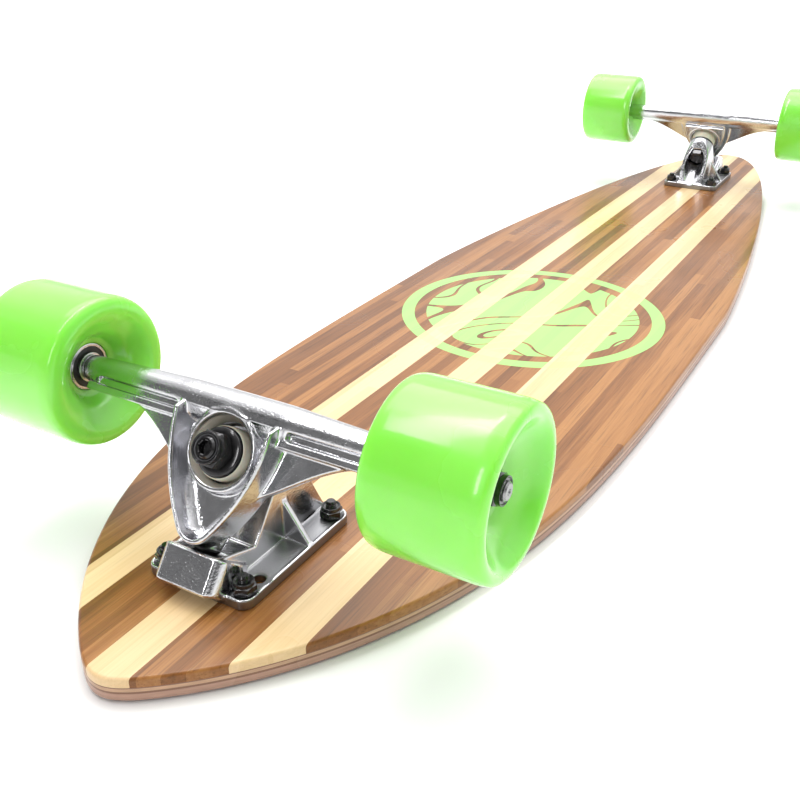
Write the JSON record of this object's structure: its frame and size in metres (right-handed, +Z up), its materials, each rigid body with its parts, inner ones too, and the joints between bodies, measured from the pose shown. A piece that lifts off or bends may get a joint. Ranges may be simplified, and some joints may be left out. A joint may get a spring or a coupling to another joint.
{
  "type": "skateboard",
  "caption": "Pintail longboard lying on its grip face: striped bamboo deck, two steering trucks with sprung hangers, and broad soft wheels that turn on ball bearings.",
  "frame": {"origin": "on the surface that the board lies on, under the middle of its length and width", "axes": "+Z up, away from the grip face and towards the wheels; +Y along the board from the blunt nose to the tapered tail; +X across the board"},
  "size_m": [0.2514, 1.0163, 0.1137],
  "materials": {
    "deck_wood": "satin clear lacquer over walnut brown bamboo with three pale stripes",
    "grip": "coarse grit on black paper",
    "truck_aluminium": "polished casting",
    "urethane": "glossy, slightly translucent lime green",
    "bushing_urethane": "matt cream",
    "black_steel": "black oxide",
    "bearing_steel": "ground, with black shields",
    "axle_steel": "zinc plated",
    "pivot_plastic": "moulded"
  },
  "bodies": {
    "board": {"deck": "deck_wood", "grip_tape": "grip", "baseplate_near": "truck_aluminium", "pivot_cup_near": "pivot_plastic", "kingpin_near": "black_steel", "washer_board_near": "black_steel", "bushing_board_near": "bushing_urethane", "bushing_road_near": "bushing_urethane", "washer_road_near": "black_steel", "kingpin_nut_near": "black_steel", "deck_bolt_near_1": "black_steel", "deck_bolt_near_2": "black_steel", "deck_bolt_near_3": "black_steel", "deck_bolt_near_4": "black_steel", "deck_nut_near_1": "black_steel", "deck_nut_near_2": "black_steel", "deck_nut_near_3": "black_steel", "deck_nut_near_4": "black_steel", "baseplate_far": "truck_aluminium", "pivot_cup_far": "pivot_plastic", "kingpin_far": "black_steel", "washer_board_far": "black_steel", "bushing_board_far": "bushing_urethane", "bushing_road_far": "bushing_urethane", "washer_road_far": "black_steel", "kingpin_nut_far": "black_steel", "deck_bolt_far_1": "black_steel", "deck_bolt_far_2": "black_steel", "deck_bolt_far_3": "black_steel", "deck_bolt_far_4": "black_steel", "deck_nut_far_1": "black_steel", "deck_nut_far_2": "black_steel", "deck_nut_far_3": "black_steel", "deck_nut_far_4": "black_steel"},
    "hanger_body_near": {"hanger_near": "truck_aluminium", "axle_near": "axle_steel", "bearing_spacer_near_right": "bearing_steel", "axle_nut_near_right": "black_steel", "bearing_spacer_near_left": "bearing_steel", "axle_nut_near_left": "black_steel"},
    "wheel_body_near_right": {"wheel_near_right": "urethane", "bearing_inner_near_right": "bearing_steel", "bearing_outer_near_right": "bearing_steel"},
    "wheel_body_near_left": {"wheel_near_left": "urethane", "bearing_inner_near_left": "bearing_steel", "bearing_outer_near_left": "bearing_steel"},
    "hanger_body_far": {"hanger_far": "truck_aluminium", "axle_far": "axle_steel", "bearing_spacer_far_right": "bearing_steel", "axle_nut_far_right": "black_steel", "bearing_spacer_far_left": "bearing_steel", "axle_nut_far_left": "black_steel"},
    "wheel_body_far_right": {"wheel_far_right": "urethane", "bearing_inner_far_right": "bearing_steel", "bearing_outer_far_right": "bearing_steel"},
    "wheel_body_far_left": {"wheel_far_left": "urethane", "bearing_inner_far_left": "bearing_steel", "bearing_outer_far_left": "bearing_steel"}
  },
  "joints": [
    {"name": "steer_near", "type": "hinge", "parent": "board", "child": "hanger_body_near", "pos_m": [0, -0.43313, 0.03905], "axis": [0, 0.6018, 0.7986], "range_deg": [-12, 12], "stiffness_Nm_per_rad": 60, "deforming": ["bushing_board_near", "bushing_road_near"]},
    {"name": "roll_near_right", "type": "hinge", "parent": "hanger_body_near", "child": "wheel_body_near_right", "pos_m": [0.10045, -0.412, 0.0789], "axis": [1, 0, 0], "continuous": true},
    {"name": "roll_near_left", "type": "hinge", "parent": "hanger_body_near", "child": "wheel_body_near_left", "pos_m": [-0.10045, -0.412, 0.0789], "axis": [1, 0, 0], "continuous": true},
    {"name": "steer_far", "type": "hinge", "parent": "board", "child": "hanger_body_far", "pos_m": [0, 0.38114, 0.03905], "axis": [0, -0.6018, 0.7986], "range_deg": [-12, 12], "stiffness_Nm_per_rad": 60, "deforming": ["bushing_board_far", "bushing_road_far"]},
    {"name": "roll_far_right", "type": "hinge", "parent": "hanger_body_far", "child": "wheel_body_far_right", "pos_m": [-0.10045, 0.36, 0.0789], "axis": [1, 0, 0], "continuous": true},
    {"name": "roll_far_left", "type": "hinge", "parent": "hanger_body_far", "child": "wheel_body_far_left", "pos_m": [0.10045, 0.36, 0.0789], "axis": [1, 0, 0], "continuous": true}
  ]
}
